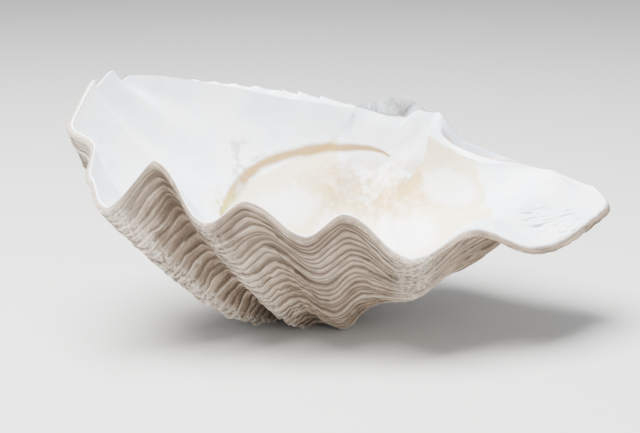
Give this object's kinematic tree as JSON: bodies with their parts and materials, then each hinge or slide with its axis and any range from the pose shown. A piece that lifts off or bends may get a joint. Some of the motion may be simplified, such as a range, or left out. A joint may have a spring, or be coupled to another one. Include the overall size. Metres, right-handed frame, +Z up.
{
  "type": "giant clam shell valve",
  "caption": "Half of an elongate giant clam shell, lying open side up, with broad wavy ribs, layered growth ledges, a frilled margin and a deep bowl.",
  "frame": {"origin": "on the surface it lies on, under the middle of the valve's bounding box", "axes": "+Z up, +X along the valve towards its narrow hind end, +Y towards the hinge"},
  "size_m": [0.3234, 0.1778, 0.1555],
  "materials": {
    "worn_shell": "matte, dry and slightly chalky"
  },
  "bodies": {
    "root": {"clam_valve": "worn_shell"}
  },
  "joints": []
}
